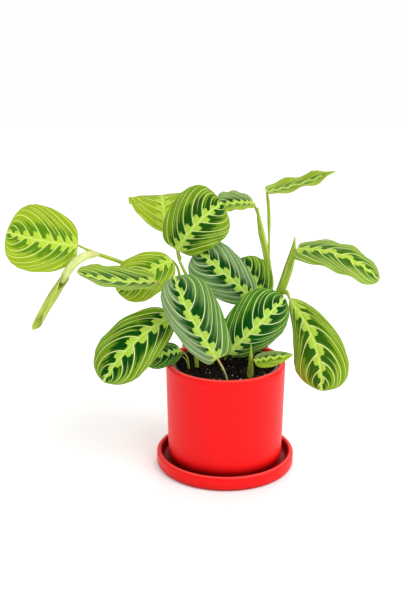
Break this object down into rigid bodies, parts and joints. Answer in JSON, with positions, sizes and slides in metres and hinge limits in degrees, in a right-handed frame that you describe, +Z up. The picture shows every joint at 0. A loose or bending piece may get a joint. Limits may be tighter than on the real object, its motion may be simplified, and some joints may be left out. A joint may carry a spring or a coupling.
{
  "type": "potted prayer plant",
  "caption": "Lemon-lime prayer plant: patterned oval leaves on arching stalks, in a red glazed cylinder pot on a matching saucer.",
  "frame": {"origin": "the middle of the saucer's flat underside", "axes": "+Z up, -Y towards the side that the picture shows, +X to its right"},
  "size_m": [0.3581, 0.1681, 0.2914],
  "materials": {
    "red_glaze": "satin red glaze",
    "liner_plastic": "thin nursery plastic",
    "potting_soil": "near-black damp potting soil with white perlite",
    "stalk": "fresh yellow-green stalk",
    "leaf_lime": "lime leaf with pale side veins and a lemon midrib band, pale underside",
    "leaf_dark": "dark green leaf with pale side veins and a lime feathered midrib band, pale underside"
  },
  "bodies": {
    "root": {"saucer": "red_glaze", "pot": "red_glaze", "liner": "liner_plastic", "soil": "potting_soil", "stem_far_left": "stalk", "stem_left": "stalk", "stem_center": "stalk", "stem_top_right": "stalk", "stem_right": "stalk", "stem_front": "stalk", "shoot_front": "stalk", "stem_rim_small": "stalk", "stem_left_low": "stalk", "stem_middle": "stalk", "stem_back": "stalk", "stem_front_right": "stalk", "leaf_far_left": "leaf_lime", "leaf_hanging_rolled": "leaf_lime", "leaf_left_lime": "leaf_lime", "leaf_top_left": "leaf_lime", "leaf_top_right": "leaf_lime", "leaf_left_shelf": "leaf_dark", "leaf_top_center": "leaf_dark", "leaf_top_small": "leaf_dark", "leaf_right_arch": "leaf_dark", "leaf_right_low": "leaf_dark", "leaf_center": "leaf_dark", "leaf_center_back": "leaf_dark", "leaf_front_right": "leaf_dark", "leaf_front": "leaf_dark", "leaf_left_low": "leaf_dark", "leaf_back_left": "leaf_dark", "leaf_back_right": "leaf_dark", "leaf_rim_small": "leaf_dark", "leaf_rim_pointed": "leaf_dark"}
  },
  "joints": []
}
